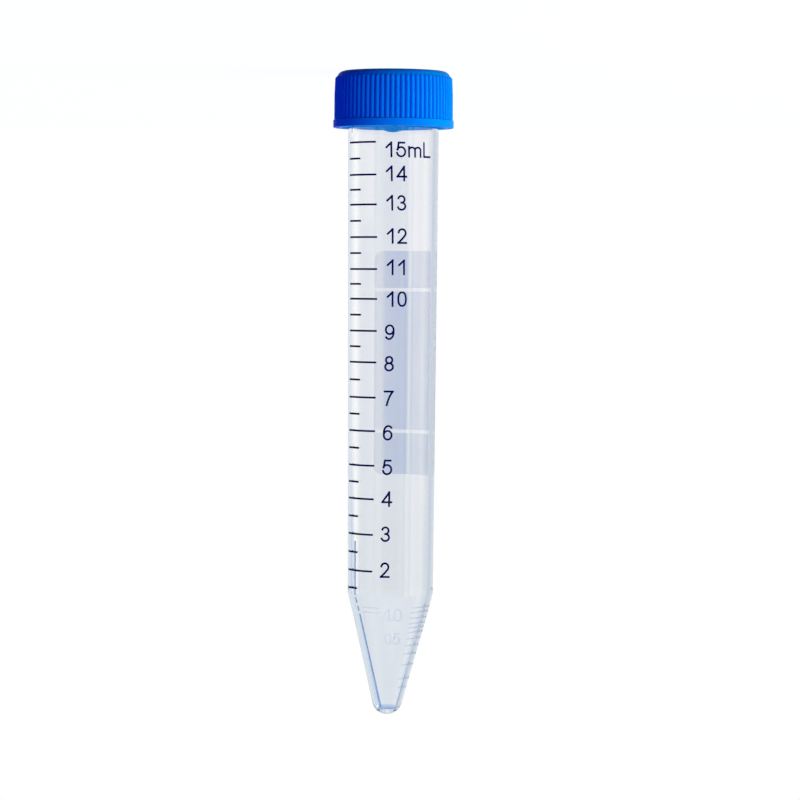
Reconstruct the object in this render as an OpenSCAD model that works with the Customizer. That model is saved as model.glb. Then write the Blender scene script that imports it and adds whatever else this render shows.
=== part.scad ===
// 15 ml conical tube with a ribbed screw cap.
// The tube stands on its cap: the origin is the centre of the cap's flat top,
// and +Z runs along the axis to the round tip of the cone.

/* [Tube] */
// Length of the tube from its mouth to its tip
tube_len = 118.4; // [80:0.1:150]
// Outside diameter at the mouth
mouth_d = 17; // [14:0.1:24]
// Outside diameter where the cone starts
shoulder_d = 15.9; // [13:0.1:22]
// Length of the cone, from where it starts to the tip
cone_len = 22.7; // [16:0.1:32]
// Outside radius of the round tip
tip_r = 2.8; // [2:0.1:4]
// Thickness of the wall
wall = 1; // [0.7:0.05:1.6]
// Chamfer around the lip of the mouth
lip_chamfer = 0.25; // [0.05:0.05:0.3]

/* [Cap] */
// Height of the cap
cap_h = 10.5; // [8:0.1:16]
// Thickness of the cap's top
cap_top = 1.5; // [1:0.1:2.5]
// Thickness of the skirt behind the grooves, at its lower edge
skirt_wall = 1.1; // [0.8:0.05:1.6]
// Radius of the smooth shoulder around the flat top
cap_round = 1.4; // [0.5:0.05:1.8]
// Height of the plain band at the lower edge
band_h = 1.4; // [0.8:0.1:2.5]
// How far the band stands out past the ribs
band_proud = 0.17; // [0.05:0.01:0.4]
// Chamfer on the band's outer edges
band_chamfer = 0.12; // [0.04:0.01:0.15]

/* [Grip ribs] */
// Number of ribs around the skirt
rib_count = 72; // [36:1:90]
// Radius of one half-round rib
rib_r = 0.36; // [0.2:0.02:0.4]
// Depth of the grooves between the ribs
rib_depth = 0.35; // [0.15:0.05:0.4]
// How much the skirt's radius shrinks from the band to the shoulder
rib_draft = 0.05; // [0:0.05:0.4]

/* [Fit] */
// Room for the screw thread between the tube and the skirt
thread_room = 1.1; // [0.7:0.05:1.4]
// Gap between the mouth and the underside of the cap's top
seat_gap = 0.1; // [0.05:0.05:0.4]
// Length of the plug ring that seals inside the mouth
plug_len = 2.6; // [1:0.1:4]
// Thickness of the plug ring
plug_wall = 0.9; // [0.6:0.1:1.4]
// Clearance between the plug ring and the bore
plug_clear = 0.15; // [0.05:0.05:0.3]

/* [Hidden] */
$fn = 96;

// Heights along the axis
mouth_z = cap_top + seat_gap;
tip_z = mouth_z + tube_len;
shoulder_z = tip_z - cone_len;
band_z = cap_h - band_h;

// Tube: the cone is the line from the shoulder that touches the round tip
mouth_r = mouth_d / 2;
shoulder_r = shoulder_d / 2;
tip_centre_z = tip_z - tip_r;
cone_dz = tip_centre_z - shoulder_z;
cone_angle = atan(shoulder_r / cone_dz) - asin(tip_r / norm([shoulder_r, cone_dz]));
bore_mouth_r = mouth_r - wall;
bore_shoulder_r = shoulder_r - wall;
bore_shoulder_z = shoulder_z - wall * tan(cone_angle / 2);

// Cap: the skirt is built outwards from the tube
skirt_bore_r = mouth_r + thread_room;
groove_r = skirt_bore_r + skirt_wall;
groove_top_r = groove_r - rib_draft;
band_r = groove_r + rib_depth + band_proud;
plug_tip_z = mouth_z + plug_len;
// The bore narrows with depth, so the plug ring is sized at its tip
bore_taper = (bore_mouth_r - bore_shoulder_r) / (bore_shoulder_z - mouth_z);
plug_r = bore_mouth_r - bore_taper * plug_len - plug_clear;
plug_chamfer = plug_wall / 3;
// The ring's root runs a little way into the cap's top
plug_root_z = cap_top - 0.5;

// Half section of a straight-sided cone with a round tip. A positive lip
// chamfers the mouth inwards, and a negative one widens it.
module tube_section(r_mouth, r_shoulder, z_shoulder, r_tip, lip) {
    // Where the straight side meets the round tip
    touch = [r_tip * cos(cone_angle), tip_centre_z + r_tip * sin(cone_angle)];
    polygon([
        [0, mouth_z],
        [r_mouth - lip, mouth_z],
        [r_mouth, mouth_z + abs(lip)],
        [r_shoulder, z_shoulder],
        touch,
        [0, touch[1]]
    ]);
    intersection() {
        translate([0, tip_centre_z]) circle(r_tip);
        translate([0, tip_centre_z]) square(r_tip);
    }
}

module tube() {
    color("aliceblue", 0.35)
        rotate_extrude()
            difference() {
                tube_section(mouth_r, shoulder_r, shoulder_z, tip_r, lip_chamfer);
                tube_section(bore_mouth_r, bore_shoulder_r, bore_shoulder_z, tip_r - wall, -lip_chamfer);
            }
}

// Half section of the cap's solid outside, without its ribs
module cap_outside() {
    polygon([
        [0, 0],
        [groove_top_r - cap_round, 0],
        [groove_top_r - cap_round, cap_round],
        [groove_top_r, cap_round],
        [groove_r, band_z],
        [band_r - band_chamfer, band_z],
        [band_r, band_z + band_chamfer],
        [band_r, cap_h - band_chamfer],
        [band_r - band_chamfer, cap_h],
        [0, cap_h]
    ]);
    translate([groove_top_r - cap_round, cap_round]) circle(cap_round);
}

// Half section that the ribs are cut to: their tops slope into the shoulder
module rib_limit() {
    rib_top_z = cap_round - rib_depth;
    polygon([
        [0, rib_top_z],
        [groove_top_r - rib_depth, rib_top_z],
        [groove_top_r + rib_depth, cap_round + rib_depth],
        [groove_r + rib_depth, band_z + band_chamfer],
        [0, band_z + band_chamfer]
    ]);
}

module ribs() {
    intersection() {
        linear_extrude(cap_h)
            for (i = [0 : rib_count - 1])
                rotate(i * 360 / rib_count)
                    translate([groove_r + rib_depth - rib_r, 0]) circle(rib_r, $fn = 24);
        rotate_extrude() rib_limit();
    }
}

module plug_ring() {
    rotate_extrude()
        polygon([
            [plug_r - plug_wall, plug_root_z],
            [plug_r, plug_root_z],
            [plug_r, plug_tip_z - plug_chamfer],
            [plug_r - plug_chamfer, plug_tip_z],
            [plug_r - plug_wall, plug_tip_z]
        ]);
}

module cap() {
    color("royalblue") {
        difference() {
            union() {
                rotate_extrude() cap_outside();
                ribs();
            }
            translate([0, 0, cap_top]) cylinder(h = cap_h, r = skirt_bore_r);
        }
        plug_ring();
    }
}

cap();
tube();
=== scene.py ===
import math

import bpy
import numpy as np
from mathutils import Matrix, Vector


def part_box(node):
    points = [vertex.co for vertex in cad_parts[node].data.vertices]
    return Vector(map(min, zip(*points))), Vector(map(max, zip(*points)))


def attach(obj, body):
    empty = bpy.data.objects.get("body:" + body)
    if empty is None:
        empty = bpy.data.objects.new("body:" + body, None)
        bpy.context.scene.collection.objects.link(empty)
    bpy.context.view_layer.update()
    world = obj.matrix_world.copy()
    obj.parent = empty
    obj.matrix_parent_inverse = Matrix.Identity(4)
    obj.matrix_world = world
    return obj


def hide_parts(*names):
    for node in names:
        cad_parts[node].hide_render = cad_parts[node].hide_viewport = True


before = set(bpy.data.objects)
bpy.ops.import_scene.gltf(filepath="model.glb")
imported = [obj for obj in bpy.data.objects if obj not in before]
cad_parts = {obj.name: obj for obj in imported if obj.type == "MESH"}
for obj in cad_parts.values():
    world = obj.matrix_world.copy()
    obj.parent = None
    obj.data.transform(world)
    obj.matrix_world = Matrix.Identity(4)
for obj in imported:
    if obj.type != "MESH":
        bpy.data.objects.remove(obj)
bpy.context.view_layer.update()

mm = 0.001
print("frame loaded:", ", ".join(sorted(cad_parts)))


def nodeBox(node):
    # A CAD node's lowest and highest corners, in millimetres.
    return [[round(part / mm, 2) for part in corner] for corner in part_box(node)]


# Node helpers: every tree below is wired with these.

def put(tree, kind, values=None, **settings):
    node = tree.nodes.new(kind)
    for name, value in settings.items():
        setattr(node, name, value)
    for key, value in (values or {}).items():
        socket = node.inputs[key]
        if isinstance(value, bpy.types.NodeSocket):
            tree.links.new(value, socket)
        else:
            socket.default_value = value
    return node


def calc(tree, operation, *values):
    return put(tree, "ShaderNodeMath", dict(enumerate(values)), operation=operation).outputs[0]


def times(tree, first, second):
    return calc(tree, "MULTIPLY", first, second)


def combine(tree, x, y, z):
    return put(tree, "ShaderNodeCombineXYZ", {"X": x, "Y": y, "Z": z}).outputs[0]


def smoothRange(tree, value, fromLow, fromHigh, toLow=0.0, toHigh=1.0):
    values = {"Value": value, "From Min": fromLow, "From Max": fromHigh, "To Min": toLow, "To Max": toHigh}
    return put(tree, "ShaderNodeMapRange", values, interpolation_type="SMOOTHSTEP").outputs[0]


def mixColour(tree, factor, low, high):
    ends = {key: value if isinstance(value, bpy.types.NodeSocket) else (*value, 1.0)
            for key, value in {6: low, 7: high}.items()}
    return put(tree, "ShaderNodeMix", {0: factor, **ends}, data_type="RGBA").outputs[2]


def addRamp(tree, bearing, colours, most=1.0):
    # Colours round the axis, from (bearing in degrees, colour) pairs; most is the brightest that fits.
    share = calc(tree, "MULTIPLY_ADD", bearing, 0.5 / math.pi, 0.5)
    ramp = put(tree, "ShaderNodeValToRGB", {0: share})
    stops = ramp.color_ramp.elements
    while len(stops) > 1:
        stops.remove(stops[-1])
    for number, (degrees, colour) in enumerate(colours):
        place = degrees / 360 + 0.5
        stop = stops.new(place) if number else stops[0]
        stop.position = place
        stop.color = (*[part / most for part in colour], 1.0)
    return ramp.outputs["Color"]


def aroundAxis(tree, radius, turn, height):
    # The place at a turn from the front, in radians, towards +X.
    across = times(tree, radius, calc(tree, "SINE", turn))
    ahead = times(tree, radius, calc(tree, "COSINE", turn))
    return combine(tree, across, times(tree, ahead, -1.0), height)


def storeValue(tree, geometry, name, value):
    values = {"Geometry": geometry, "Name": name, "Value": value}
    node = put(tree, "GeometryNodeStoreNamedAttribute", values, data_type="FLOAT", domain="POINT")
    return node.outputs[0]


def storedValue(tree, name):
    return put(tree, "GeometryNodeInputNamedAttribute", {"Name": name}, data_type="FLOAT").outputs[0]


def newTree(name, sockets):
    kinds = {int: "NodeSocketInt", float: "NodeSocketFloat", bpy.types.Material: "NodeSocketMaterial"}
    tree = bpy.data.node_groups.new(name, "GeometryNodeTree")
    tree.interface.new_socket("Geometry", in_out="INPUT", socket_type="NodeSocketGeometry")
    tree.interface.new_socket("Geometry", in_out="OUTPUT", socket_type="NodeSocketGeometry")
    for label, value in sockets.items():
        socket = tree.interface.new_socket(label, in_out="INPUT", socket_type=kinds[type(value)])
        socket.default_value = value
    return tree, tree.nodes.new("NodeGroupInput").outputs


def endTree(tree, geometry, material):
    real = put(tree, "GeometryNodeRealizeInstances", {"Geometry": geometry}).outputs[0]
    smooth = put(tree, "GeometryNodeSetShadeSmooth", {"Geometry": real}).outputs[0]
    final = put(tree, "GeometryNodeSetMaterial", {"Geometry": smooth, "Material": material}).outputs[0]
    tree.links.new(final, tree.nodes.new("NodeGroupOutput").inputs[0])


def newPiece(name, points, edges=(), faces=()):
    mesh = bpy.data.meshes.new(name)
    mesh.from_pydata([tuple(point) for point in points], list(edges), list(faces))
    piece = bpy.data.objects.new(name, mesh)
    bpy.context.collection.objects.link(piece)
    return piece


def growPiece(piece, tree, values):
    modifier = piece.modifiers.new(tree.name, "NODES")
    modifier.node_group = tree
    for item in tree.interface.items_tree:
        if item.item_type == "SOCKET" and item.in_out == "INPUT" and item.name in values:
            modifier[item.identifier] = values[item.name]
    depsgraph = bpy.context.evaluated_depsgraph_get()
    mesh = bpy.data.meshes.new_from_object(piece.evaluated_get(depsgraph), depsgraph=depsgraph)
    piece.modifiers.remove(modifier)
    piece.data = mesh
    print("grown:", piece.name, len(mesh.vertices), "points", len(mesh.polygons), "faces")


# Camera: turned over, so that the tube, which stands on its cap, shows with its cap uppermost.

camera = {
    "place": (0.0, -0.634, 0.0395),
    "aim": (-0.00157, 0.0, 0.06116),
    "lens": 152.9,
    "roll": 180.4,               # degrees
}


def lookAt(place, aim):
    turn = (aim - place).to_track_quat("-Z", "Y").to_matrix().to_4x4()
    return Matrix.Translation(place) @ turn


def placeCamera():
    data = bpy.data.cameras.new("camera")
    data.lens = camera["lens"]
    eye = bpy.data.objects.new("camera", data)
    roll = Matrix.Rotation(math.radians(camera["roll"]), 4, "Z")
    eye.matrix_world = lookAt(Vector(camera["place"]), Vector(camera["aim"])) @ roll
    bpy.context.collection.objects.link(eye)
    bpy.context.scene.camera = eye


placeCamera()


# Stage: a white floor and surround, and the studio that only mirrored rays see.

studio = {
    "fill": (0.30, 0.43, 0.66),  # colour above and below the walls
    "wallTop": 0.42,             # sine of the height where the walls give way to the fill
    "wallFade": 0.15,            # how much of that sine the change takes
    # colour of the wall at each bearing in degrees, 0 towards the camera and positive to its right
    "walls": [(-180, (1.0, 1.0, 1.0)), (-165, (0.8, 0.85, 0.9)), (-150, (0.8, 0.85, 0.9)),
              (-138, (0.85, 0.9, 0.95)), (-130, (1.0, 1.0, 1.0)), (-123, (1.7, 1.6, 1.4)),
              (-110, (1.9, 1.7, 1.4)), (-100, (1.2, 1.1, 0.8)), (-90, (0.5, 0.5, 0.6)),
              (-70, (0.2, 0.3, 0.35)), (-60, (0.2, 0.2, 0.25)), (39, (0.2, 0.2, 0.25)),
              (41, (1.0, 1.25, 1.1)), (49, (1.0, 1.25, 1.1)), (51, (0.2, 0.3, 0.3)),
              (55, (0.2, 0.3, 0.3)), (57, (1.5, 1.35, 1.2)), (85, (0.9, 0.8, 0.7)),
              (115, (0.8, 0.75, 0.7)), (122, (0.25, 0.28, 0.42)), (132, (0.75, 0.8, 0.85)),
              (147, (0.6, 0.65, 0.75)), (165, (0.8, 0.85, 0.9))],
    "wallMost": 2.0,             # the brightest value that the walls' ramp can hold
    # cards before the walls: bearings, and the sines of the heights between which each fades in
    "cards": [{"bearing": (-93, -52), "height": (-0.007, -0.011), "colour": (0.9, 0.8, 0.75)},
              {"bearing": (-36, -25), "height": (-1.0, -0.9), "colour": (0.65, 0.7, 0.55)},
              {"bearing": (-150, -128), "height": (0.045, 0.085), "colour": (0.6, 0.7, 0.85)},
              {"bearing": (-180, -98), "height": (0.11, 0.2), "colour": (0.75, 0.82, 0.9)},
              {"bearing": (84, 126), "height": (0.045, 0.085), "colour": (0.4, 0.45, 0.48)},
              {"bearing": (-60, 39), "height": (0.15, 0.25), "colour": (0.4, 0.5, 0.7)}],
    "floorRadius": 0.26,
    "floorCorners": 96,
    "floorGlow": 0.97,
    "floorShade": 0.1,
    "bounce": (0.01, 0.022, 0.50),  # the bluish light that matt pieces gather from all round
    "floorBounce": 0.3,
    "lamps": [{"bearing": 48, "power": 4.3, "colour": (0.5, 1.0, 0.85)},
              {"bearing": 90, "power": 4.0, "colour": (0.8, 1.35, 0.55)}],
    "lampPlace": {"height": 0.16, "distance": 0.7, "size": 0.5, "aim": 0.04},
}


def makeWorld():
    world = bpy.data.worlds.new("studio")
    world.use_nodes = True
    tree = world.node_tree
    tree.nodes.clear()
    ray = put(tree, "ShaderNodeTexCoord").outputs["Generated"]
    axis = put(tree, "ShaderNodeSeparateXYZ", {0: ray}).outputs
    most = studio["wallMost"]
    bearing = calc(tree, "ARCTAN2", times(tree, axis["X"], -1.0), times(tree, axis["Y"], -1.0))
    lit = addRamp(tree, bearing, studio["walls"], most)
    for card in studio["cards"]:
        left, right = [math.radians(degrees) for degrees in card["bearing"]]
        inside = times(tree, calc(tree, "GREATER_THAN", bearing, left),
                       calc(tree, "LESS_THAN", bearing, right))
        shown = times(tree, inside, smoothRange(tree, axis["Z"], *card["height"]))
        lit = mixColour(tree, shown, lit, [part / most for part in card["colour"]])
    tall = smoothRange(tree, calc(tree, "ABSOLUTE", axis["Z"]), studio["wallTop"] - studio["wallFade"],
                       studio["wallTop"])
    lit = mixColour(tree, tall, lit, [part / most for part in studio["fill"]])
    room = put(tree, "ShaderNodeBackground", {"Color": lit, "Strength": most}).outputs[0]
    white = put(tree, "ShaderNodeBackground", {"Color": (1.0, 1.0, 1.0, 1.0), "Strength": 1.0}).outputs[0]
    path = put(tree, "ShaderNodeLightPath").outputs
    unmirrored = calc(tree, "LESS_THAN", path["Glossy Depth"], 0.5)
    through = times(tree, path["Is Transmission Ray"], unmirrored)
    plain = calc(tree, "MAXIMUM", path["Is Camera Ray"], through)
    bounce = put(tree, "ShaderNodeBackground", {"Color": (*studio["bounce"], 1.0)}).outputs[0]
    gathered = put(tree, "ShaderNodeMixShader", {0: path["Is Diffuse Ray"], 1: room, 2: bounce}).outputs[0]
    seen = put(tree, "ShaderNodeMixShader", {0: plain, 1: gathered, 2: white}).outputs[0]
    put(tree, "ShaderNodeOutputWorld", {"Surface": seen})
    bpy.context.scene.world = world


def makeFloor():
    count = studio["floorCorners"]
    turns = [k * 2 * math.pi / count for k in range(count)]
    radius = studio["floorRadius"]
    rim = [(math.cos(turn) * radius, math.sin(turn) * radius, 0.0) for turn in turns]
    floor = newPiece("floor", rim, faces=[tuple(range(count))])
    material = bpy.data.materials.new("floorWhite")
    material.use_nodes = True
    tree = material.node_tree
    tree.nodes.clear()
    glow = put(tree, "ShaderNodeEmission", {"Strength": studio["floorGlow"]}).outputs[0]
    shade = put(tree, "ShaderNodeBsdfDiffuse", {"Color": (*[studio["floorShade"]] * 3, 1.0)}).outputs[0]
    shown = put(tree, "ShaderNodeAddShader", {0: glow, 1: shade}).outputs[0]
    white = put(tree, "ShaderNodeEmission", {"Strength": 1.0}).outputs[0]
    plain = put(tree, "ShaderNodeBsdfDiffuse", {"Color": (*[studio["floorBounce"]] * 3, 1.0)}).outputs[0]
    path = put(tree, "ShaderNodeLightPath").outputs
    mirrored = calc(tree, "MAXIMUM", path["Is Glossy Ray"], path["Is Transmission Ray"])
    others = put(tree, "ShaderNodeMixShader", {0: mirrored, 1: plain, 2: white}).outputs[0]
    seen = put(tree, "ShaderNodeMixShader", {0: path["Is Camera Ray"], 1: others, 2: shown}).outputs[0]
    put(tree, "ShaderNodeOutputMaterial", {"Surface": seen})
    floor.data.materials.append(material)


def makeLamp(lamp):
    spot = studio["lampPlace"]
    data = bpy.data.lights.new("lamp", "AREA")
    data.shape = "SQUARE"
    data.size = spot["size"]
    data.energy = lamp["power"]
    data.color = lamp["colour"]
    piece = bpy.data.objects.new("lamp", data)
    bearing = math.radians(lamp["bearing"])
    away = spot["distance"]
    place = Vector((-math.sin(bearing) * away, -math.cos(bearing) * away, spot["height"]))
    piece.matrix_world = lookAt(place, Vector((0.0, 0.0, spot["aim"])))
    piece.visible_camera = False
    piece.visible_glossy = False
    piece.visible_transmission = False
    bpy.context.collection.objects.link(piece)


makeWorld()
makeFloor()
for lamp in studio["lamps"]:
    makeLamp(lamp)
bpy.context.scene.view_settings.view_transform = "Standard"
print("camera and stage placed")


# Finishes. The moulded grain is one group, placed in each material with its own values.

def makeGrain():
    tree = bpy.data.node_groups.new("mouldedGrain", "ShaderNodeTree")
    tree.interface.new_socket("Place", in_out="INPUT", socket_type="NodeSocketVector")
    for label, value in {"Cloud Scale": 120.0, "Grain Scale": 2500.0}.items():
        socket = tree.interface.new_socket(label, in_out="INPUT", socket_type="NodeSocketFloat")
        socket.default_value = value
    for label in ("Cloud", "Grain"):
        tree.interface.new_socket(label, in_out="OUTPUT", socket_type="NodeSocketFloat")
    start = tree.nodes.new("NodeGroupInput").outputs
    end = tree.nodes.new("NodeGroupOutput").inputs
    for label, detail in {"Cloud": 2.0, "Grain": 4.0}.items():
        values = {"Vector": start["Place"], "Scale": start[label + " Scale"], "Detail": detail}
        noise = put(tree, "ShaderNodeTexNoise", values).outputs["Fac"]
        tree.links.new(smoothRange(tree, noise, 0.3, 0.7), end[label])
    return tree


grain = makeGrain()


def newFinish(name, look):
    # A material with its grain, its roughness and the values that are the same all over it.
    material = bpy.data.materials.new(name)
    material.use_nodes = True
    tree = material.node_tree
    shader = tree.nodes["Principled BSDF"]
    masks = put(tree, "ShaderNodeGroup", node_tree=grain)
    tree.links.new(put(tree, "ShaderNodeTexCoord").outputs["Object"], masks.inputs["Place"])
    for label, value in zip(("Cloud Scale", "Grain Scale"), look["scales"]):
        masks.inputs[label].default_value = value
    rough = smoothRange(tree, masks.outputs["Grain"], 0.0, 1.0, *look["roughness"])
    tree.links.new(rough, shader.inputs["Roughness"])
    for label, value in look["sockets"].items():
        shader.inputs[label].default_value = value
    if "bump" in look:
        distance, strength = look["bump"]
        values = {"Height": masks.outputs["Grain"], "Distance": distance, "Strength": strength}
        tree.links.new(put(tree, "ShaderNodeBump", values).outputs[0], shader.inputs["Normal"])
    return material, tree, shader.inputs, masks.outputs["Cloud"]


def objectAxes(tree):
    place = put(tree, "ShaderNodeTexCoord").outputs["Object"]
    return put(tree, "ShaderNodeSeparateXYZ", {0: place}).outputs


tubeLook = {
    "scales": (60.0, 900.0),     # of the cloud and of the grain
    "roughness": (0.008, 0.022),
    "sockets": {"IOR": 1.49, "Transmission Weight": 1.0},
    "colours": ((0.900, 0.917, 0.951), (0.911, 0.927, 0.958)),
    "farColour": (0.877, 0.903, 0.929),
    "farHeights": (0.045, 0.105),     # metres, between which the far colour comes in
    # painted reflection: a blue tint on the bore's floor at the tip
    "floorColour": (0.40, 0.54, 0.80),
    "paintedTipHeights": (0.1180, 0.1184),  # where the bore's floor takes a painted blue reflection
}


def makeTubePlastic():
    material, tree, inputs, cloud = newFinish("tubePlastic", tubeLook)
    height = objectAxes(tree)["Z"]
    body = mixColour(tree, cloud, *tubeLook["colours"])
    body = mixColour(tree, smoothRange(tree, height, *tubeLook["farHeights"]), body, tubeLook["farColour"])
    # painted reflection: the bore's floor near the tip is tinted blue
    bore = put(tree, "ShaderNodeAttribute", attribute_name="bore").outputs["Fac"]
    deep = times(tree, bore, smoothRange(tree, height, *tubeLook["paintedTipHeights"]))
    tree.links.new(mixColour(tree, deep, body, tubeLook["floorColour"]), inputs["Base Color"])
    return material


capLook = {
    "scales": (90.0, 4200.0),
    "roughness": (0.28, 0.36),
    "sockets": {"Specular IOR Level": 0.005, "Emission Strength": 1.0},
    "bump": (0.00001, 0.35),     # distance and strength
    "colours": ((0.0008, 0.23, 0.99), (0.0012, 0.26, 1.0)),
    # painted shade: the grooves between the ribs take a darker blue than the crests
    "paintedGrooveShade": (0.0004, 0.12, 0.88),
    # a faint glow on the skirt's inside stands in for light through its thin wall
    "glow": (0.0, 0.16, 0.3),
    "glowRadii": (0.0103, 0.0099),
    "glowHeights": (0.0008, 0.0014),
}


def makeCapPlastic():
    material, tree, inputs, cloud = newFinish("capPlastic", capLook)
    # grooveShadeMask is where the painted shade falls, between the ribs
    grooveShadeMask = put(tree, "ShaderNodeAttribute", attribute_name="grooveShadeMask").outputs["Fac"]
    crest = mixColour(tree, cloud, *capLook["colours"])
    tree.links.new(mixColour(tree, grooveShadeMask, crest, capLook["paintedGrooveShade"]), inputs["Base Color"])
    axis = objectAxes(tree)
    square = times(tree, axis["Y"], axis["Y"])
    radius = calc(tree, "SQRT", calc(tree, "MULTIPLY_ADD", axis["X"], axis["X"], square))
    inside = times(tree, smoothRange(tree, radius, *capLook["glowRadii"]),
                   smoothRange(tree, axis["Z"], *capLook["glowHeights"]))
    tree.links.new(mixColour(tree, inside, (0.0, 0.0, 0.0), capLook["glow"]), inputs["Emission Color"])
    return material


inkLook = {
    "scales": (400.0, 6000.0),
    "roughness": (0.45, 0.65),
    "sockets": {"Specular IOR Level": 0.03},
    "bump": (0.000004, 0.3),
    "colours": ((0.0002, 0.0013, 0.08), (0.0003, 0.002, 0.12)),
}
reliefLook = {
    "scales": (700.0, 3000.0),
    "roughness": (0.05, 0.12),
    "sockets": {"IOR": 1.13, "Transmission Weight": 1.0},
    "colours": ((0.86, 0.89, 0.97), (0.9, 0.92, 0.98)),
}
# painted reflection: a clear ridge like the marks, tinted blue
paintedReflectionLook = {**reliefLook, "colours": ((0.38, 0.57, 0.88), (0.48, 0.65, 0.92))}


def makeCloudy(name, look):
    material, tree, inputs, cloud = newFinish(name, look)
    tree.links.new(mixColour(tree, cloud, *look["colours"]), inputs["Base Color"])
    return material


patchLook = {
    "scales": (300.0, 5000.0),
    "roughness": (0.35, 0.55),
    "sockets": {"IOR": 1.12, "Transmission Weight": 0.94},
    # degrees from the back, positive to the camera's left, and the patch's colour there: its ink, with
    # painted shade in the deeper stretch from -23 to 10 and painted light in the paler stretches and the
    # white line
    "inkWithPaintedLight": [(-62, (0.83, 0.87, 0.96)), (-56, (0.88, 0.92, 0.98)), (-33, (0.84, 0.88, 0.97)),
               (-30, (0.76, 0.82, 0.95)), (-28.5, (1.0, 1.0, 1.0)), (-25, (1.0, 1.0, 1.0)),
               (-23, (0.71, 0.785, 0.945)), (10, (0.80, 0.855, 0.97)), (13, (0.93, 0.94, 0.98)),
               (30, (0.94, 0.95, 0.99))],
    "cloudShare": 0.1,           # how far the cloud lightens them
}


def makePatchInk():
    material, tree, inputs, cloud = newFinish("patchInkAndPaintedLight", patchLook)
    axis = objectAxes(tree)
    # the ink's colour round the tube, with painted light and shade
    shade = addRamp(tree, calc(tree, "ARCTAN2", axis["X"], axis["Y"]), patchLook["inkWithPaintedLight"])
    thin = times(tree, cloud, patchLook["cloudShare"])
    tree.links.new(mixColour(tree, thin, shade, (1.0, 1.0, 1.0)), inputs["Base Color"])
    return material


finish = {
    "tube": makeTubePlastic(),
    "cap": makeCapPlastic(),
    "ink": makeCloudy("scaleInk", inkLook),
    "relief": makeCloudy("reliefPlastic", reliefLook),
    "paintedReflectionLine": makeCloudy("paintedReflectionFinish", paintedReflectionLook),
    "patch": makePatchInk(),
}
print("finishes made:", ", ".join(finish))


# Turned shapes: Geometry Nodes carry a profile of radius and height, in millimetres, round the axis.

def roundPath(corners, stepAngle, mostHold=0.15):
    # Rounds each corner (radius, height, fillet) and holds the flats with a point close beside each fillet.
    path = []
    for number, (x, z, fillet) in enumerate(corners):
        corner = np.array([x, z], float)
        if fillet == 0 or number in (0, len(corners) - 1):
            path.append(corner)
            continue
        before = np.array(corners[number - 1][:2], float) - corner
        after = np.array(corners[number + 1][:2], float) - corner
        roomBefore, roomAfter = np.linalg.norm(before), np.linalg.norm(after)
        before, after = before / roomBefore, after / roomAfter
        half = math.acos(np.clip(np.dot(before, after), -1, 1)) / 2
        reach = fillet / math.tan(half)
        centre = corner + (before + after) / np.linalg.norm(before + after) * fillet / math.sin(half)
        first, last = corner + before * reach, corner + after * reach
        steps = max(2, math.ceil((math.pi - 2 * half) / math.radians(stepAngle)))
        hold = min(0.5 * fillet, mostHold)
        if roomBefore > reach + 2 * hold:
            path.append(first + before * hold)
        for step in range(steps + 1):
            spot = first + (last - first) * step / steps - centre
            path.append(centre + spot / np.linalg.norm(spot) * fillet)
        if roomAfter > reach + 2 * hold:
            path.append(last + after * hold)
    return path


def fillPath(path, longest):
    # Splits the long stretches; longest(height) is the longest step allowed there.
    full = [path[0]]
    for point in path[1:]:
        start = full[-1]
        length = np.linalg.norm(point - start)
        count = max(1, math.ceil(length / longest((point[1] + start[1]) / 2)))
        full += [start + (point - start) * k / count for k in range(1, count + 1)]
    return full


def lathe(tree, profile, segments):
    # A grid with a row for each profile point and a column for each segment, bent round the axis.
    rows = put(tree, "GeometryNodeAttributeDomainSize", {"Geometry": profile}).outputs["Point Count"]
    lastRow = calc(tree, "SUBTRACT", rows, 1.0)
    values = {"Size X": lastRow, "Size Y": segments, "Vertices X": rows,
              "Vertices Y": calc(tree, "ADD", segments, 1.0)}
    grid = put(tree, "GeometryNodeMeshGrid", values).outputs[0]
    place = put(tree, "GeometryNodeInputPosition").outputs[0]
    axis = put(tree, "ShaderNodeSeparateXYZ", {0: place}).outputs
    row = calc(tree, "ROUND", calc(tree, "MULTIPLY_ADD", lastRow, 0.5, axis["X"]))
    turn = times(tree, calc(tree, "DIVIDE", axis["Y"], segments), 2 * math.pi)
    sampled = [put(tree, "GeometryNodeSampleIndex", {"Geometry": profile, "Value": value, "Index": row},
                   data_type=kind).outputs[0]
               for value, kind in ((place, "FLOAT_VECTOR"), (storedValue(tree, "weight"), "FLOAT"))]
    spot = put(tree, "ShaderNodeSeparateXYZ", {0: sampled[0]}).outputs
    return grid, turn, spot["X"], spot["Z"], sampled[1]


def closeLathe(tree, grid, turn, radius, height):
    place = aroundAxis(tree, radius, turn, height)
    bent = put(tree, "GeometryNodeSetPosition", {"Geometry": grid, "Position": place}).outputs[0]
    return put(tree, "GeometryNodeMergeByDistance", {"Geometry": bent, "Distance": 0.000002}).outputs[0]


def newProfile(name, path, weights):
    points = [(x * mm, 0.0, z * mm) for x, z in path]
    piece = newPiece(name, points, edges=[(k, k + 1) for k in range(len(points) - 1)])
    attribute = piece.data.attributes.new("weight", "FLOAT", "POINT")
    attribute.data.foreach_set("value", [float(weight) for weight in weights])
    return piece


# Tube: one clear moulding from the mouth at the cap to the round tip.

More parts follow.
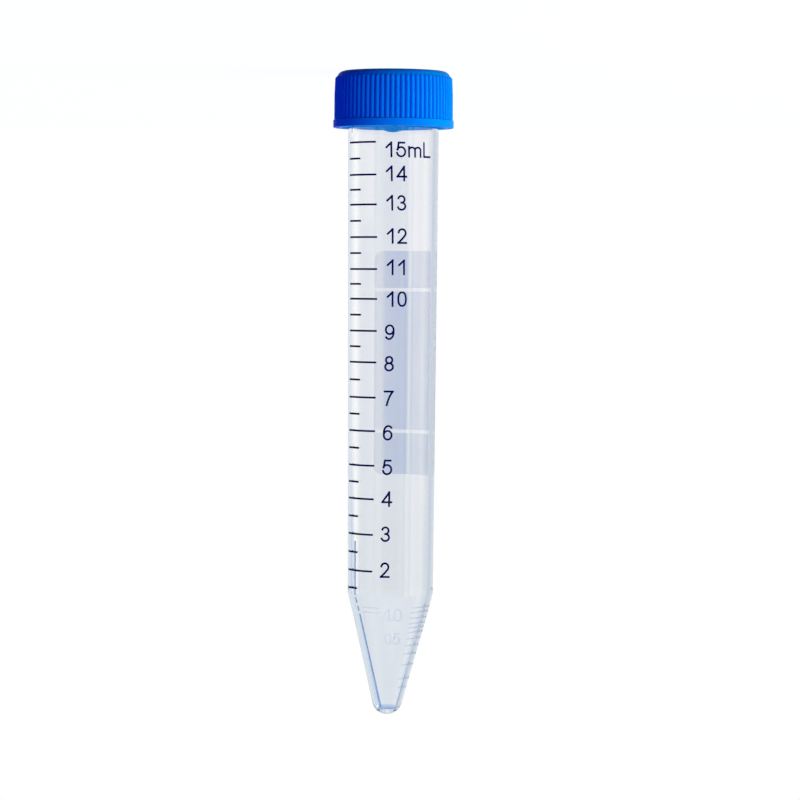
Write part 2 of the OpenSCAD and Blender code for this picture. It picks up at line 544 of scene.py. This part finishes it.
tubeLow, tubeHigh = nodeBox("tube")
tube = {
    "mouthZ": tubeLow[2],
    "mouthRadius": tubeHigh[0],
    "tipZ": tubeHigh[2],
    "tipRadius": 2.8,
    "coneLength": 22.7,
    "shoulderRadius": 7.95,
    "shoulderRound": 1.6,
    "wall": 1.0,
    "lipRound": 0.25,
    "boreTaper": 0.006,          # how much the bore narrows in its first millimetre
    "boreShoulderZ": 97.18,
    "boreTip": (1.60, 118.70),   # where the bore's straight side meets its nearly flat floor
    "boreTipRound": 0.5,
    "boreTipRise": 0.3,
    "segments": 256,
    "tipSteps": 16,
    # a height and the longest step between rows below it: thread, plain body, rings and cone
    "rows": [(12.4, 0.15), (95.0, 6.0), (98.6, 0.08), (tubeHigh[2], 0.5)],
    "boreStep": 8.0,
    "threadPitch": 3.0,          # the cap's thread has it too
    "threadHeight": 0.6,
    "threadWidth": 0.6,
    "threadTurns": (1.1, 3.05),  # height over pitch where the ridge starts and ends
    "threadFade": 0.12,          # turns over which each end of it fades out
    "threadCrest": 0.25,         # share of its width that is full height
    # bearing, height, half width and depth of the low bosses by the thread
    "lugs": [(1.0, 9.45, 2.5, 0.22), (66.0, 10.2, 0.5, 0.06)],
    "lugLength": 2.2,
    "lugCrest": 0.6,
    "rings": (96.5, 97.9),       # heights of the two faint rings above the cone
    "ringHeight": 0.035,
    "ringReach": 0.16,
    "lean": 0.0275,              # how far the cone wanders to one side for each millimetre past leanFrom
    "leanFrom": 101.0,
}
tube["shoulderZ"] = tube["tipZ"] - tube["coneLength"]


def wallRadius(z):
    fall = (z - tube["mouthZ"]) / (tube["shoulderZ"] - tube["mouthZ"])
    return tube["mouthRadius"] + (tube["shoulderRadius"] - tube["mouthRadius"]) * fall


def tangentLean(radius, height, ballRadius, ballZ):
    # How far the line from a point on the profile leans where it just touches the ball of the tip.
    reach = math.hypot(radius, ballZ - height)
    return math.atan2(radius, ballZ - height) - math.asin(ballRadius / reach)


def ballArc(ballRadius, ballZ, lean, steps):
    turns = [math.pi / 2 + (lean - math.pi / 2) * k / steps for k in range(steps + 1)]
    return [np.array([ballRadius * math.cos(a) if k else 0.0, ballZ + ballRadius * math.sin(a)])
            for k, a in enumerate(turns)]


def rowStep(z):
    return next((step for top, step in tube["rows"] if z < top), tube["rows"][-1][1])


def outerProfile():
    ballZ = tube["tipZ"] - tube["tipRadius"]
    lean = tangentLean(tube["shoulderRadius"], tube["shoulderZ"], tube["tipRadius"], ballZ)
    ball = ballArc(tube["tipRadius"], ballZ, lean, tube["tipSteps"])
    threadFoot, plainTop = tube["rows"][0][0], tube["rows"][1][0]
    mouth, lip, bore = tube["mouthRadius"], tube["lipRound"], tube["mouthRadius"] - tube["wall"]
    body = roundPath([(*ball[-1], 0), (tube["shoulderRadius"], tube["shoulderZ"], tube["shoulderRound"]),
                      (wallRadius(plainTop), plainTop, 0), (wallRadius(threadFoot), threadFoot, 0),
                      (mouth, tube["mouthZ"], lip), (bore, tube["mouthZ"], lip),
                      (bore - tube["boreTaper"], tube["mouthZ"] + 1, 0)], stepAngle=10)
    outer = fillPath(ball + body[1:-1], rowStep)
    for point in outer:
        for ring in tube["rings"]:
            point[0] += tube["ringHeight"] * max(0.0, 1 - ((point[1] - ring) / tube["ringReach"]) ** 2)
    return outer


def tubeProfile():
    outer = outerProfile()
    shoulder = tube["shoulderRadius"] - tube["wall"]
    radius, height = tube["boreTip"]
    inner = roundPath([(*outer[-1], 0), (shoulder, tube["boreShoulderZ"], tube["shoulderRound"]),
                       (radius, height, tube["boreTipRound"]),
                       (0, height + tube["boreTipRise"], 0)], stepAngle=5)
    inner = fillPath(inner[1:], lambda z: tube["boreStep"])
    return outer + inner, [1.0] * len(outer) + [0.0] * len(inner)


def threadTree():
    sockets = {"Segments": 64, "Thread Pitch": 1.0, "Thread Height": 0.0, "Thread Width": 1.0,
               "Thread Start": 0.0, "Thread End": 1.0, "Lug Length": 1.0, "Lean": 0.0, "Lean From": 0.0,
               "Material": finish["tube"]}
    tree, given = newTree("clearTube", sockets)
    grid, turn, radius, height, weight = lathe(tree, given["Geometry"], given["Segments"])
    pitch, width, fade = given["Thread Pitch"], given["Thread Width"], tube["threadFade"]
    turns = calc(tree, "DIVIDE", turn, 2 * math.pi)
    rise = calc(tree, "SUBTRACT", calc(tree, "DIVIDE", height, pitch), turns)
    lap = calc(tree, "ROUND", rise)
    off = times(tree, calc(tree, "ABSOLUTE", calc(tree, "SUBTRACT", rise, lap)), pitch)
    along = calc(tree, "ADD", lap, turns)
    ridge = smoothRange(tree, off, width, times(tree, width, tube["threadCrest"]))
    start = smoothRange(tree, along, given["Thread Start"], calc(tree, "ADD", given["Thread Start"], fade))
    end = smoothRange(tree, along, given["Thread End"], calc(tree, "SUBTRACT", given["Thread End"], fade))
    lift = times(tree, times(tree, ridge, times(tree, start, end)), given["Thread Height"])
    for bearing, z, wide, deep in tube["lugs"]:
        across = times(tree, calc(tree, "SUBTRACT", turn, math.radians(bearing)), radius)
        across = calc(tree, "DIVIDE", across, wide * mm)
        down = calc(tree, "DIVIDE", calc(tree, "SUBTRACT", height, z * mm), given["Lug Length"])
        square = times(tree, down, down)
        reach = calc(tree, "SQRT", calc(tree, "MULTIPLY_ADD", across, across, square))
        lug = times(tree, smoothRange(tree, reach, 1.0, tube["lugCrest"]), deep * mm)
        lift = calc(tree, "MAXIMUM", lift, lug)
    wall = calc(tree, "MULTIPLY_ADD", lift, weight, radius)
    grid = storeValue(tree, grid, "bore", calc(tree, "SUBTRACT", 1.0, weight))
    closed = closeLathe(tree, grid, turn, wall, height)
    now = put(tree, "ShaderNodeSeparateXYZ", {0: put(tree, "GeometryNodeInputPosition").outputs[0]}).outputs
    past = calc(tree, "MAXIMUM", calc(tree, "SUBTRACT", now["Z"], given["Lean From"]), 0.0)
    shift = combine(tree, times(tree, past, given["Lean"]), 0.0, 0.0)
    closed = put(tree, "GeometryNodeSetPosition", {"Geometry": closed, "Offset": shift}).outputs[0]
    endTree(tree, closed, given["Material"])
    return tree


def makeTube():
    path, weights = tubeProfile()
    piece = newProfile("tubeWall", path, weights)
    growPiece(piece, threadTree(), {
        "Segments": tube["segments"], "Thread Pitch": tube["threadPitch"] * mm,
        "Thread Height": tube["threadHeight"] * mm, "Thread Width": tube["threadWidth"] * mm,
        "Thread Start": tube["threadTurns"][0], "Thread End": tube["threadTurns"][1],
        "Lug Length": tube["lugLength"] * mm,
        "Lean": tube["lean"], "Lean From": tube["leanFrom"] * mm, "Material": finish["tube"]})
    return piece


tubeWall = makeTube()
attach(tubeWall, "tube")
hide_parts("tube")


# Cap: one blue moulding, with its ribs as a weight on the profile and its thread as a swept ridge.

capHigh = nodeBox("cap")[1]
cap = {
    "height": capHigh[2],
    "top": 1.5,
    "shoulder": 1.35,
    "grooveTop": 10.5,
    "grooveMiddle": (10.68, 4.3),  # radius and height where the skirt starts to close in
    "grooveFoot": 10.7,
    "bandZ": 9.1,
    "bandRadius": capHigh[0],
    "bore": 9.6,
    "plugRadius": 7.33,
    "plugInside": 6.434,
    "plugZ": 4.2,
    "segments": 648,
    "ribCount": 72,
    "ribDepth": 0.35,
    "ribSharpness": 0.6,
    "ribPhase": 1.389,           # degrees from the front to the first crest
    "ribTop": (0.9, 1.35),       # heights between which the ribs rise out of the shoulder
    "threadCrest": 8.85,
    "threadFoot": 1.3,           # width of the thread where it meets the bore
    "threadTop": 0.5,
    "threadSunk": 0.15,          # how far its foot runs on into the skirt
    "threadTurns": (0.55, 2.15),
    "threadSteps": 120,
    "longestStep": 1.2,
}


def capProfile():
    foot = cap["height"]
    # radius, height and fillet of each corner
    corners = [(0, 0, 0), (cap["grooveTop"], 0, cap["shoulder"]), (*cap["grooveMiddle"], 3.0),
               (cap["grooveFoot"], cap["bandZ"], 0.08), (cap["bandRadius"], cap["bandZ"], 0.12),
               (cap["bandRadius"], foot, 0.15), (cap["bore"], foot, 0.2), (cap["bore"], cap["top"], 0.4),
               (cap["plugRadius"], cap["top"], 0.2), (cap["plugRadius"], cap["plugZ"], 0.28),
               (cap["plugInside"], cap["plugZ"], 0.28), (cap["plugInside"], cap["top"], 0.3),
               (0, cap["top"], 0)]
    path = fillPath(roundPath(corners, stepAngle=12), lambda z: cap["longestStep"])
    low, high = cap["ribTop"]
    hair = 0.01                  # takes in the points on the edge itself
    weights = []
    for number, (x, z) in enumerate(path):
        ribbed = x < cap["grooveFoot"] + hair and z < cap["bandZ"] + hair and number < len(path) / 2
        rise = np.clip((z - low) / (high - low), 0, 1)
        weights.append(rise * rise * (3 - 2 * rise) if ribbed else 0.0)
    return path, weights


def ribTree():
    sockets = {"Segments": 64, "Rib Count": 12, "Rib Depth": 0.0, "Rib Sharpness": 1.0, "Rib Phase": 0.0,
               "Material": finish["cap"]}
    tree, given = newTree("ribbedCap", sockets)
    grid, turn, radius, height, weight = lathe(tree, given["Geometry"], given["Segments"])
    halfTurns = times(tree, calc(tree, "SUBTRACT", turn, given["Rib Phase"]),
                      times(tree, given["Rib Count"], 0.5))
    wave = calc(tree, "ABSOLUTE", calc(tree, "COSINE", halfTurns))
    crest = calc(tree, "POWER", wave, given["Rib Sharpness"])
    lift = times(tree, times(tree, crest, weight), given["Rib Depth"])
    # the share of each rib that takes the painted groove shade
    grooveShadeMask = times(tree, calc(tree, "SUBTRACT", 1.0, crest), weight)
    grid = storeValue(tree, grid, "grooveShadeMask", grooveShadeMask)
    closed = closeLathe(tree, grid, turn, calc(tree, "ADD", radius, lift), height)
    endTree(tree, closed, given["Material"])
    return tree


def capThreadTree():
    sockets = {"Pitch": 1.0, "Start": 0.0, "End": 1.0, "Steps": 64, "Bore": 1.0, "Material": finish["cap"]}
    tree, given = newTree("capThread", sockets)
    line = put(tree, "GeometryNodeMeshLine", {"Count": given["Steps"]}).outputs[0]
    step = put(tree, "GeometryNodeInputIndex").outputs[0]
    share = calc(tree, "DIVIDE", step, calc(tree, "SUBTRACT", given["Steps"], 1.0))
    laps = calc(tree, "SUBTRACT", given["End"], given["Start"])
    lap = calc(tree, "MULTIPLY_ADD", share, laps, given["Start"])
    height = times(tree, given["Pitch"], calc(tree, "ADD", lap, 0.5))
    place = aroundAxis(tree, given["Bore"], times(tree, lap, 2 * math.pi), height)
    bent = put(tree, "GeometryNodeSetPosition", {"Geometry": line, "Position": place}).outputs[0]
    spiral = put(tree, "GeometryNodeMeshToCurve", {"Mesh": bent}).outputs[0]
    spiral = put(tree, "GeometryNodeSetCurveNormal", {"Curve": spiral}, mode="Z_UP").outputs[0]
    outline = put(tree, "GeometryNodeMeshToCurve", {"Mesh": given["Geometry"]}).outputs[0]
    outline = put(tree, "GeometryNodeSetSplineCyclic", {"Geometry": outline, "Cyclic": True}).outputs[0]
    values = {"Curve": spiral, "Profile Curve": outline, "Fill Caps": True}
    ridge = put(tree, "GeometryNodeCurveToMesh", values).outputs[0]
    endTree(tree, ridge, given["Material"])
    return tree


def makeCapThread():
    # The outline is a flat-topped wedge; its first axis points away from the cap's axis.
    deep = cap["bore"] - cap["threadCrest"]
    foot, top = cap["threadFoot"] / 2, cap["threadTop"] / 2
    sunk = cap["threadSunk"]
    outline = [(sunk, foot), (0.0, foot), (-deep, top), (-deep, -top), (0.0, -foot), (sunk, -foot)]
    points = [(x * mm, y * mm, 0.0) for x, y in outline]
    piece = newPiece("capThread", points, edges=[(k, k + 1) for k in range(len(points) - 1)])
    start, end = cap["threadTurns"]
    growPiece(piece, capThreadTree(), {
        "Pitch": tube["threadPitch"] * mm, "Start": start, "End": end, "Steps": cap["threadSteps"],
        "Bore": cap["bore"] * mm, "Material": finish["cap"]})
    return piece


def makeCap():
    path, weights = capProfile()
    piece = newProfile("capShell", path[::-1], weights[::-1])
    growPiece(piece, ribTree(), {
        "Segments": cap["segments"], "Rib Count": cap["ribCount"], "Rib Depth": cap["ribDepth"] * mm,
        "Rib Sharpness": cap["ribSharpness"], "Rib Phase": math.radians(cap["ribPhase"]),
        "Material": finish["cap"]})
    return piece


capShell = makeCap()
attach(capShell, "cap")
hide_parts("cap")
capThread = makeCapThread()
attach(capThread, "cap")


# Printed scale: ink laid in a plane (across, up, out), then wrapped round the tapered body.

scale = {
    # heights of the whole marks from 15 mL down to 2 mL, and of the step past the last
    "marks": [13.4, 19.4, 24.9, 30.9, 36.8, 42.3, 48.2, 54.0, 60.5, 66.7, 73.1, 79.3, 85.9, 92.7],
    "lastStep": 6.6,
    "start": -10.7,
    "longEnd": -3.3,
    "shortEnd": -6.85,
    "lineWidth": 0.35,
    "inkSkin": (0.002, 0.018),   # ink from just off the wall to its face
    "figureHeight": 2.52,
    "figureStroke": 0.36,
    "figureStart": -1.3,
    "figureAdvance": 2.12,
    "loneShift": -0.3,           # a lone figure starts this much nearer its mark
    "secondShift": -0.17,        # and so does a second figure, unless it is a 1
    "strokeStep": 0.3,
    "tickColumns": 17,
    # how far past its mark each figure from 15 down to 2 was printed
    "figureShift": [0, -0.2, -0.3, -0.2, -0.35, 0, 0.2, 0.2, 0.1, 0.25, 0.25, -0.1, -0.2, -0.35],
    "topDrop": 0.15,             # the top figures hang this far below their mark
    # the m after them: its height, spur, first stem, step between stems and arch
    "unitHeight": 1.67,
    "unitSpur": 0.1,
    "unitStem": 2.92,
    "unitStemStep": 1.205,
    "unitArch": 0.8,             # height over half width
    "unitTall": (6.155, 7.775),  # the L's stem and the end of its foot
    # heights, and the degrees that the print has wandered round the tube there
    "skew": ([13.4, 30, 46, 61, 96], [0, 2.6, 3.2, 2.0, -1.6]),
}


def markHeight(volume):
    heights = scale["marks"] + [scale["marks"][-1] + scale["lastStep"]]
    return float(np.interp(15 - volume, range(len(heights)), heights))


def printSkew(z):
    return np.radians(np.interp(z, *scale["skew"]))


outline = np.array(outerProfile())
outline = outline[np.argsort(outline[:, 1], kind="stable")]


def outerRadius(z):
    return np.interp(z, outline[:, 1], outline[:, 0])


def wrapOnTube(piece, bearing):
    # The flat print has its second axis towards the cap, so height is its negative.
    mesh = piece.data
    flat = np.empty(len(mesh.vertices) * 3)
    mesh.vertices.foreach_get("co", flat)
    across, up, out = flat.reshape(-1, 3).T / mm
    z = -up
    radius = outerRadius(z)
    turn = bearing(z) + across / radius
    reach = radius + out
    lean = tube["lean"] * np.maximum(z - tube["leanFrom"], 0)
    wrapped = np.stack([lean - reach * np.sin(turn), -reach * np.cos(turn), z], axis=1) * mm
    mesh.vertices.foreach_set("co", wrapped.ravel())
    mesh.update()


def tickTree():
    sockets = {"Line Width": 0.001, "Skin": 0.001, "Lift": 0.001, "Material": finish["ink"]}
    tree, given = newTree("scaleTicks", sockets)
    size = combine(tree, 1.0, given["Line Width"], given["Skin"])
    bar = put(tree, "GeometryNodeMeshCube", {"Size": size, "Vertices X": scale["tickColumns"],
                                             "Vertices Y": 2, "Vertices Z": 2}).outputs[0]
    shift = combine(tree, 0.5, 0.0, calc(tree, "MULTIPLY_ADD", given["Skin"], 0.5, given["Lift"]))
    bar = put(tree, "GeometryNodeTransform", {"Geometry": bar, "Translation": shift}).outputs[0]
    stretch = combine(tree, storedValue(tree, "length"), 1.0, 1.0)
    values = {"Points": given["Geometry"], "Instance": bar, "Scale": stretch}
    bars = put(tree, "GeometryNodeInstanceOnPoints", values).outputs[0]
    endTree(tree, bars, given["Material"])
    return tree


def makeTicks():
    marks = [15 - k / 2 for k in range(28)]  # down to 1.5 mL
    points = [(scale["start"] * mm, -markHeight(volume) * mm, 0.0) for volume in marks]
    ends = [scale["longEnd"] if volume == int(volume) else scale["shortEnd"] for volume in marks]
    piece = newPiece("scaleTicks", points)
    lengths = [(end - scale["start"]) * mm for end in ends]
    piece.data.attributes.new("length", "FLOAT", "POINT").data.foreach_set("value", lengths)
    low, high = scale["inkSkin"]
    growPiece(piece, tickTree(), {"Line Width": scale["lineWidth"] * mm, "Skin": (high - low) * mm,
                                  "Lift": low * mm, "Material": finish["ink"]})
    wrapOnTube(piece, printSkew)
    return piece


def arc(centre, size, start, end, power=2.0):
    count = max(4, math.ceil(abs(end - start) / 12))
    points = []
    for k in range(count + 1):
        turn = math.radians(start + (end - start) * k / count)
        x, y = math.cos(turn), math.sin(turn)
        points.append((centre[0] + size[0] * math.copysign(abs(x) ** (2 / power), x),
                       centre[1] + size[1] * math.copysign(abs(y) ** (2 / power), y)))
    return points


def bend(start, pull, end):
    return [tuple((1 - t) ** 2 * a + 2 * t * (1 - t) * b + t * t * c for a, b, c in zip(start, pull, end))
            for t in [k / 8 for k in range(9)]]


# Strokes of each figure, in units of the figure's height.
figures = {
    "0": [arc((0.29, 0.5), (0.285, 0.5), 90, 450, 2.3)],
    "1": [[(0.0, 0.66), (0.36, 1.0)], [(0.36, 1.0), (0.36, 0.0)]],
    "2": [arc((0.285, 0.72), (0.265, 0.28), 170, -20) + [(0.50, 0.55), (0.30, 0.30), (0.0, 0.0)],
          [(0.0, 0.0), (0.58, 0.0)]],
    "3": [arc((0.27, 0.755), (0.235, 0.245), 160, -90), arc((0.27, 0.26), (0.28, 0.26), 90, -160)],
    "4": [[(0.50, 1.0), (0.50, 0.0)], [(0.50, 1.0), (0.0, 0.27)], [(0.0, 0.27), (0.66, 0.27)]],
    "5": [[(0.54, 1.0), (0.13, 1.0)], [(0.13, 1.0), (0.05, 0.50)],
          arc((0.30, 0.34), (0.31, 0.34), 150, -165)],
    "6": [arc((0.29, 0.32), (0.285, 0.32), 90, 450), arc((0.33, 0.50), (0.33, 0.50), 50, 180)],
    "7": [[(0.0, 1.0), (0.60, 1.0)], bend((0.60, 1.0), (0.30, 0.62), (0.17, 0.0))],
    "8": [arc((0.29, 0.765), (0.235, 0.235), 90, 450), arc((0.29, 0.265), (0.285, 0.265), 90, 450)],
    "9": [arc((0.29, 0.68), (0.285, 0.32), 90, 450), arc((0.25, 0.50), (0.33, 0.50), 0, -130)],
}


def wordStrokes(word, z):
    # The figures of a whole mark, with their middle at height z, as strokes of points in millimetres.
    strokes = []
    foot = -z - scale["figureHeight"] / 2
    x = scale["figureStart"] + (scale["loneShift"] if len(word) == 1 else 0.0)
    for place, letter in enumerate(word):
        if place:
            x = scale["figureStart"] + scale["figureAdvance"]
            x += 0.0 if letter == "1" else scale["secondShift"]
        for stroke in figures[letter]:
            strokes.append([(x + a * scale["figureHeight"], foot + b * scale["figureHeight"])
                            for a, b in stroke])
    return strokes


def unitStrokes(z):
    # The letters mL after the 15.
    foot = -z - scale["figureHeight"] / 2
    top = foot + scale["unitHeight"]
    stems = [scale["unitStem"] + scale["unitStemStep"] * k for k in range(3)]
    strokes = [[(stems[0], foot), (stems[0], top + scale["unitSpur"])]]
    for left, right in zip(stems, stems[1:]):
        half = (right - left) / 2
        rise = half * scale["unitArch"]
        spring = top - rise
        strokes.append(arc(((left + right) / 2, spring), (half, rise), 180, 0))
        strokes.append([(right, spring), (right, foot)])
    left, right = scale["unitTall"]
    strokes += [[(left, foot + scale["figureHeight"]), (left, foot)], [(left, foot), (right, foot)]]
    return strokes


def squareEnds(stroke, reach):
    # Runs both ends on by half the stroke's width, unless the stroke closes on itself.
    points = [np.array(point, float) for point in stroke]
    if np.linalg.norm(points[0] - points[-1]) < 1e-6:
        return points
    head, tail = points[0] - points[1], points[-1] - points[-2]
    points[0] = points[0] + head / np.linalg.norm(head) * reach
    points[-1] = points[-1] + tail / np.linalg.norm(tail) * reach
    return points


def newStrokes(name, strokes, width):
    points, edges = [], []
    for stroke in strokes:
        full = fillPath(squareEnds(stroke, width / 2), lambda z: scale["strokeStep"])
        edges += [(len(points) + k, len(points) + k + 1) for k in range(len(full) - 1)]
        points += [point * mm for point in full]
    return newPiece(name, points, edges)


def strokeTree(name):
    sockets = {"Stroke Width": 0.001, "Skin": 0.001, "Material": finish["ink"]}
    tree, given = newTree(name, sockets)
    line = put(tree, "GeometryNodeMeshToCurve", {"Mesh": given["Geometry"]}).outputs[0]
    line = put(tree, "GeometryNodeSetCurveNormal", {"Curve": line}, mode="Z_UP").outputs[0]
    nib = put(tree, "GeometryNodeCurvePrimitiveQuadrilateral",
              {"Width": given["Stroke Width"], "Height": given["Skin"]}).outputs[0]
    values = {"Curve": line, "Profile Curve": nib, "Fill Caps": True}
    ink = put(tree, "GeometryNodeCurveToMesh", values).outputs[0]
    endTree(tree, ink, given["Material"])
    return tree


def growStrokes(name, strokes, width, skin, material, bearing):
    # Makes strokes in the plane into low ridges and wraps them on the tube.
    low, high = skin
    middle = (low + high) / 2
    strokes = [[(x, y, middle) for x, y in stroke] for stroke in strokes]
    piece = newStrokes(name, strokes, width)
    growPiece(piece, strokeTree(name), {"Stroke Width": width * mm, "Skin": (high - low) * mm,
                                        "Material": material})
    wrapOnTube(piece, bearing)
    return piece


def makeFigures():
    strokes = []
    for volume in range(14, 1, -1):
        strokes += wordStrokes(str(volume), markHeight(volume) + scale["figureShift"][15 - volume])
    hung = markHeight(15) + scale["figureHeight"] / 2 + scale["topDrop"]
    strokes += wordStrokes("15", hung) + unitStrokes(hung)
    return growStrokes("scaleFigures", strokes, scale["figureStroke"], scale["inkSkin"], finish["ink"],
                       printSkew)


for printed in (makeTicks(), makeFigures()):
    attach(printed, "tube")


# Moulded marks on the cone: low ridges of clear plastic.

coneMarks = {
    "heights": [99.5, 100.4, 101.5, 102.5, 103.3, 104.2, 105.4, 106.7, 108.3, 110.4, 113.0, 114.7],
    "reach": (33, 78),           # degrees round from the front, to the camera's right
    "pairReach": (-43, -16),     # the first two are repeated on the other side
    # word, height of its middle, where it starts and the figures' height
    "words": [("1.0", 100.8, -1.0, 2.2), ("0.5", 105.3, -0.8, 1.9)],
    "advance": 0.82,             # from one figure to the next, in figure heights
    "dotPlace": 0.5904,          # in figure heights too
    "dotHeight": 0.12,
    "stroke": 0.2,
    "skin": (-0.03, 0.06),
}


def makeConeMarks():
    strokes = []
    for number, z in enumerate(coneMarks["heights"]):
        for stretch in [coneMarks["reach"]] + ([coneMarks["pairReach"]] if number < 2 else []):
            strokes.append([(math.radians(angle) * float(outerRadius(z)), -z) for angle in stretch])
    for word, z, start, tall in coneMarks["words"]:
        foot = -z - tall / 2
        first, last = word.split(".")
        for letter, x in ((first, start), (last, start + coneMarks["advance"] * tall)):
            strokes += [[(x + a * tall, foot + b * tall) for a, b in stroke] for stroke in figures[letter]]
        dot = start + coneMarks["dotPlace"] * tall
        strokes.append([(dot, foot), (dot, foot + coneMarks["dotHeight"])])
    return growStrokes("coneMarks", strokes, coneMarks["stroke"], coneMarks["skin"], finish["relief"],
                       lambda z: 0 * z)


# A fine blue line down one side, a set distance in from the edge that the camera sees: a painted reflection
# on the clear plastic.

paintedReflectionLine = {
    "stretches": [(87.5, 97.0), (98.0, 98.5), (99.6, 100.0), (101.0, 118.2)],
    "inset": 1.38,
    "width": 0.5,
    "skin": (0.002, 0.018),
}


def makeSeam():
    strokes = [[(0.0, -start), (0.0, -end)] for start, end in paintedReflectionLine["stretches"]]
    return growStrokes("paintedReflectionLine", strokes, paintedReflectionLine["width"], paintedReflectionLine["skin"], finish["paintedReflectionLine"],
                       lambda z: -np.arcsin(1 - paintedReflectionLine["inset"] / outerRadius(z)))


for moulded in (makeConeMarks(), makeSeam()):
    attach(moulded, "tube")


# Writing patch: three bands of translucent ink on the far side, with the outer corners rounded.

patch = {
    "bearing": 151.2,            # degrees from the front to the patch's middle, to the camera's right
    "halfAngle": 55.2,
    "bands": [(33.3, 40.27), (40.93, 66.97), (67.63, 75.4)],
    "round": 1.6,
    "cornerSteps": 6,
    "skin": (0.002, 0.022),
    "columns": 64,
}


def patchBand(top, foot, roundTop, roundFoot):
    # Rows of (height, half width), lowest first.
    wide = math.radians(patch["halfAngle"]) * wallRadius((top + foot) / 2)
    steps = patch["cornerSteps"]
    rows = [(top + (foot - top) * k / 8, wide) for k in range(2, 7)]
    for end, inward, rounded in ((top, 1, roundTop), (foot, -1, roundFoot)):
        reach = patch["round"] if rounded else 0.0
        for k in range(steps + 1 if rounded else 1):
            turn = math.pi / 2 * k / steps
            rows.append((end + inward * reach * (1 - math.sin(turn)), wide - reach * (1 - math.cos(turn))))
    return sorted(rows)


def makePatch():
    points, faces = [], []
    low, high = patch["skin"]
    for number, (top, foot) in enumerate(patch["bands"]):
        rows = patchBand(top, foot, number == 0, number == len(patch["bands"]) - 1)
        count = patch["columns"] + 1
        base = len(points)
        for out in (high, low):
            for z, wide in rows:
                points += [((2 * k / patch["columns"] - 1) * wide * mm, -z * mm, out * mm)
                           for k in range(count)]
        layer = len(rows) * count
        for i in range(len(rows) - 1):
            for k in range(patch["columns"]):
                a = base + i * count + k
                faces.append((a, a + count, a + count + 1, a + 1))
                faces.append((a + layer, a + layer + 1, a + layer + count + 1, a + layer + count))
        edge = [base + k for k in range(count)]
        edge += [base + i * count + count - 1 for i in range(1, len(rows))]
        edge += [base + (len(rows) - 1) * count + k for k in range(count - 2, -1, -1)]
        edge += [base + i * count for i in range(len(rows) - 2, 0, -1)]
        for a, b in zip(edge, edge[1:] + edge[:1]):
            faces.append((a, b, b + layer, a + layer))
    piece = newPiece("writingPatch", points, faces=faces)
    piece.data.materials.append(finish["patch"])
    wrapOnTube(piece, lambda z: math.radians(patch["bearing"]) + 0 * z)
    return piece


writingPatch = makePatch()
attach(writingPatch, "tube")
print("print and patch on the tube")
